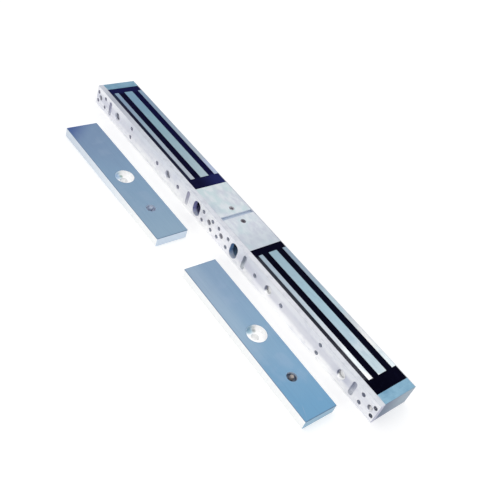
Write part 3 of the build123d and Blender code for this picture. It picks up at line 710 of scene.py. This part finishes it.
# Shaded and the small spots are places in the cup where shade is painted, in metres from the bolt along and
# across the plate.
ARMATURE_TONES = {
    "far": {
        "face": ((0.10, tone(120, 145, 176)), (0.45, tone(128, 157, 185)), (1.0, tone(139, 165, 187))),
        "end": tone(208, 221, 235),
        "cup_side": tone(196, 216, 236),
        "shaded": (-0.0074, -0.0036),
        "cup_shadow": tone(128, 168, 150),
        "cup_shadow_spots": ((-0.0076, 0.0009), (-0.0066, 0.0003)),
        "pocket_floor": tone(166, 176, 198),
        "pocket_wall": tone(214, 226, 242),
    },
    "near": {
        "face": ((0.10, tone(130, 155, 181)), (0.45, tone(125, 156, 182)), (1.0, tone(105, 150, 183))),
        "end": tone(150, 184, 206),
        "cup_side": tone(172, 200, 216),
        "shaded": (-0.0090, -0.0014),
        "cup_shadow": tone(140, 150, 152),
        "cup_shadow_spots": ((-0.0074, 0.0040), (-0.0062, 0.0032)),
        "pocket_floor": tone(78, 90, 110),
        "pocket_wall": tone(206, 220, 238),
    },
}


# ---------------------------------------------------------------- dressing
def paint(node, material):
    slots = nodes[node].data.materials
    slots.clear()
    slots.append(material)


def dress_lock():
    paint("mounting_plate", anodised_plate())
    paint("housing", anodised_housing())
    end_bar = block_aluminium("end_bar", tone(129, 167, 189), tone(105, 145, 171),
                              tone(143, 160, 175), tone(106, 120, 144), tone(176, 196, 206))
    bridge_bar = block_aluminium("bridge_bar", tone(178, 189, 204), tone(159, 172, 191),
                                 tone(178, 189, 204), tone(159, 172, 191), tone(178, 189, 204))
    paint("centre_bridge", bridge_bar)
    screw = turned_metal("nickel_screw", tone(196, 196, 204), tone(158, 158, 168))
    for node in ("core_screws", "board_screws", "terminal_screws"):
        paint(node, screw)
    paint("fixing_screws", fixing_screw_steel())
    paint("cover_screws", turned_metal("cover_screw", tone(116, 113, 121), tone(84, 84, 92), roughness=0.45,
                                       parted=(-0.0005, tone(158, 154, 162))))
    paint("board_standoffs", turned_metal("turned_brass", (0.72, 0.50, 0.20), (0.55, 0.36, 0.13)))
    shared = {
        "bobbin": moulded_plastic("bobbin_nylon", (0.72, 0.69, 0.62), (0.62, 0.59, 0.52)),
        "winding": wound_copper(),
        "circuit_board": board_laminate(),
        "terminal_block": moulded_plastic("terminal_plastic", (0.060, 0.260, 0.600), (0.045, 0.210, 0.520)),
        "varistor": moulded_plastic("varistor_coating", (0.05, 0.16, 0.45), (0.04, 0.12, 0.36), 0.3),
        "jumper_header": moulded_plastic("header_plastic", (0.02, 0.02, 0.02), (0.03, 0.03, 0.03)),
        "jumper_cap": moulded_plastic("jumper_plastic", (0.03, 0.03, 0.035), (0.02, 0.02, 0.025)),
        "coil_leads": moulded_plastic("lead_sleeve", (0.50, 0.03, 0.02), (0.40, 0.02, 0.02)),
        "end_block": end_bar,
    }
    for side in SIDES:
        for part, material in shared.items():
            paint(f"{side}_{part}", material)
    paint("far_cover", brushed_cover("far", -0.06, 0.0))
    paint("near_cover", brushed_cover("near", 0.05, 0.40))
    for side in SIDES:
        paint(f"{side}_core", core_steel(side, **CORE_TONES[side]))
        paint(f"{side}_resin", cast_resin(side, **RESIN_TONES[side]))


def dress_armatures():
    plug = turned_metal("slotted_plug", tone(180, 181, 188), tone(150, 152, 160))
    spring = turned_metal("drawn_spring", tone(186, 186, 192), tone(165, 165, 168))
    # One pin in two tones: pale bluish in the far plate, darker brownish grey in the near one.
    pins = {"far": turned_metal("pale_blue_pin", tone(168, 180, 200), tone(150, 162, 182), 0.3, 0.4),
            "near": turned_metal("brownish_grey_pin", tone(164, 156, 150), tone(110, 109, 114), 0.3, 0.4)}
    for side in SIDES:
        paint(f"{side}_armature_plate", armature_steel(side, **ARMATURE_TONES[side]))
        paint(f"{side}_kick_off_plug", plug)
        paint(f"{side}_kick_off_pin", pins[side])
        make_spring(side, spring)


def make_spring(side, material):
    """Stands for the CAD spring: a copy of its mesh on its own, carried with the armature."""
    node = f"{side}_kick_off_spring"
    spring = bpy.data.objects.new(f"{side}_pressed_spring", nodes[node].data.copy())
    spring.data.materials.clear()
    spring.data.materials.append(material)
    bpy.context.scene.collection.objects.link(spring)
    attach(spring, f"{side}_armature")
    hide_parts(node)
    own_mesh(spring)


# ---------------------------------------------------------------- stage and light
def seen_straight(tree):
    """1 for what the camera sees, also in metal and through glass, and 0 for light on the object."""
    path = tree.nodes.new("ShaderNodeLightPath")
    seen = path.outputs["Is Camera Ray"]
    for ray in ("Is Glossy Ray", "Is Transmission Ray"):
        larger = tree.nodes.new("ShaderNodeMath")
        larger.operation = "MAXIMUM"
        tree.links.new(seen, larger.inputs[0])
        tree.links.new(path.outputs[ray], larger.inputs[1])
        seen = larger.outputs[0]
    return seen


def make_stage():
    """A white table under the lock, which keeps its shadows."""
    floor_mesh = bpy.data.meshes.new("floor")
    reach = 6.0                                     # metres, far past the lock on every side
    corners = [(-reach, -reach, 0), (reach, -reach, 0), (reach, reach, 0), (-reach, reach, 0)]
    floor_mesh.from_pydata(corners, [], [(0, 1, 2, 3)])
    floor = bpy.data.objects.new("floor", floor_mesh)
    floor.location.z = -0.0002                      # clear of the lock's underside
    bpy.context.scene.collection.objects.link(floor)
    material = bpy.data.materials.new("white_table")
    material.use_nodes = True
    tree = material.node_tree
    tree.nodes.clear()
    output = tree.nodes.new("ShaderNodeOutputMaterial")
    diffuse = tree.nodes.new("ShaderNodeBsdfDiffuse")
    diffuse.inputs["Color"].default_value = (0.80, 0.80, 0.80, 1)
    glow = tree.nodes.new("ShaderNodeEmission")
    glow.inputs["Color"].default_value = (0.37, 0.37, 0.37, 1)
    tree.links.new(seen_straight(tree), glow.inputs["Strength"])
    both = tree.nodes.new("ShaderNodeAddShader")
    tree.links.new(diffuse.outputs[0], both.inputs[0])
    tree.links.new(glow.outputs[0], both.inputs[1])
    tree.links.new(both.outputs[0], output.inputs[0])
    floor_mesh.materials.append(material)


def make_light():
    """Even light from all round, a white background, and three soft boxes."""
    scene = bpy.context.scene
    world = bpy.data.worlds.new("studio")
    scene.world = world
    world.use_nodes = True
    tree = world.node_tree
    tree.nodes.clear()
    output = tree.nodes.new("ShaderNodeOutputWorld")
    room = tree.nodes.new("ShaderNodeBackground")
    room.inputs["Color"].default_value = (0.90, 0.90, 0.90, 1)
    room.inputs["Strength"].default_value = 0.85
    white = tree.nodes.new("ShaderNodeBackground")
    white.inputs["Color"].default_value = (1, 1, 1, 1)
    pick = tree.nodes.new("ShaderNodeMixShader")
    tree.links.new(seen_straight(tree), pick.inputs[0])
    tree.links.new(room.outputs[0], pick.inputs[1])
    tree.links.new(white.outputs[0], pick.inputs[2])
    tree.links.new(pick.outputs[0], output.inputs[0])
    soft_box("key", (-0.15, 0.75, 1.05), 0.9, 1.6)
    soft_box("fill", (0.9, -0.9, 1.2), 1.2, 1.2)
    soft_box("front", (0.1, -1.5, 0.3), 1.0, 5.4)


def soft_box(name, place, side, watts):
    """A square lamp of that many metres a side, turned to the middle of the lock."""
    data = bpy.data.lights.new(name, "AREA")
    data.size = side
    data.energy = watts
    lamp = bpy.data.objects.new(name, data)
    lamp.location = place
    lamp.rotation_euler = (-Vector(place)).to_track_quat("-Z", "Y").to_euler()
    bpy.context.scene.collection.objects.link(lamp)


make_camera()
dress_lock()
dress_armatures()
make_stage()
make_light()
bpy.context.scene.view_settings.view_transform = "Standard"
